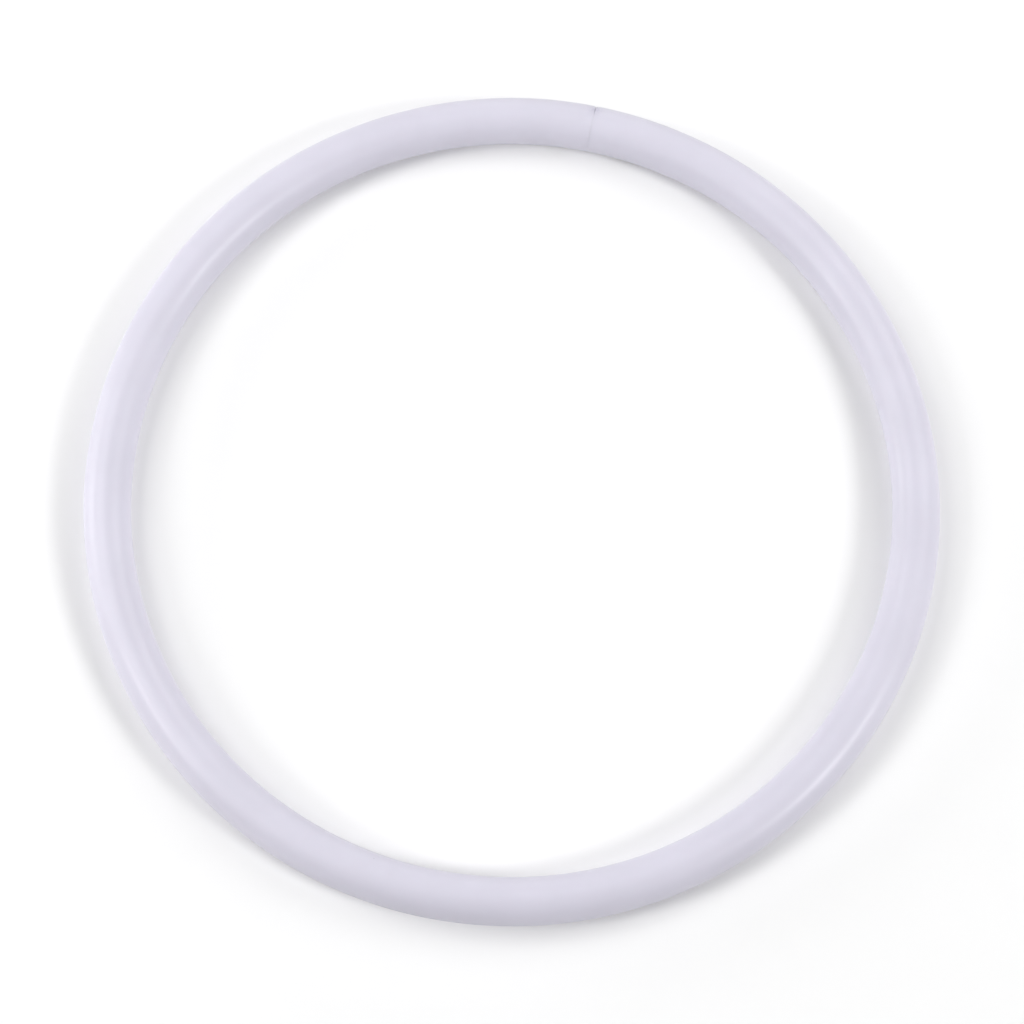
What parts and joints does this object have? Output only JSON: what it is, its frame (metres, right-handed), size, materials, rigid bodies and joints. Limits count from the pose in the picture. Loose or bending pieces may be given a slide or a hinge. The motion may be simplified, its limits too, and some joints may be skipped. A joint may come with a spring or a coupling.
{
  "type": "rhythmic hoop",
  "caption": "Small rhythmic hoop of bent plastic tube, its ends butted over an inner plug and pinned by wire staples.",
  "frame": {"origin": "centre of the ring, on the mid-plane of the tube, where nothing is: the hoop lies flat with its underside at z = -0.010 m", "axes": "+Z is the ring's axis, up out of the ring as it lies flat; +Y points from the centre to the butt seam; +X completes the frame, and the part mirrors about the YZ plane"},
  "size_m": [0.36, 0.36, 0.02],
  "materials": {
    "tube_plastic": "satin",
    "plug_plastic": "matte",
    "staple_steel": "satin"
  },
  "bodies": {
    "root": {"hoop_tube": "tube_plastic", "joint_plug": "plug_plastic", "seam_staple_left": "staple_steel", "seam_staple_right": "staple_steel"}
  },
  "joints": []
}
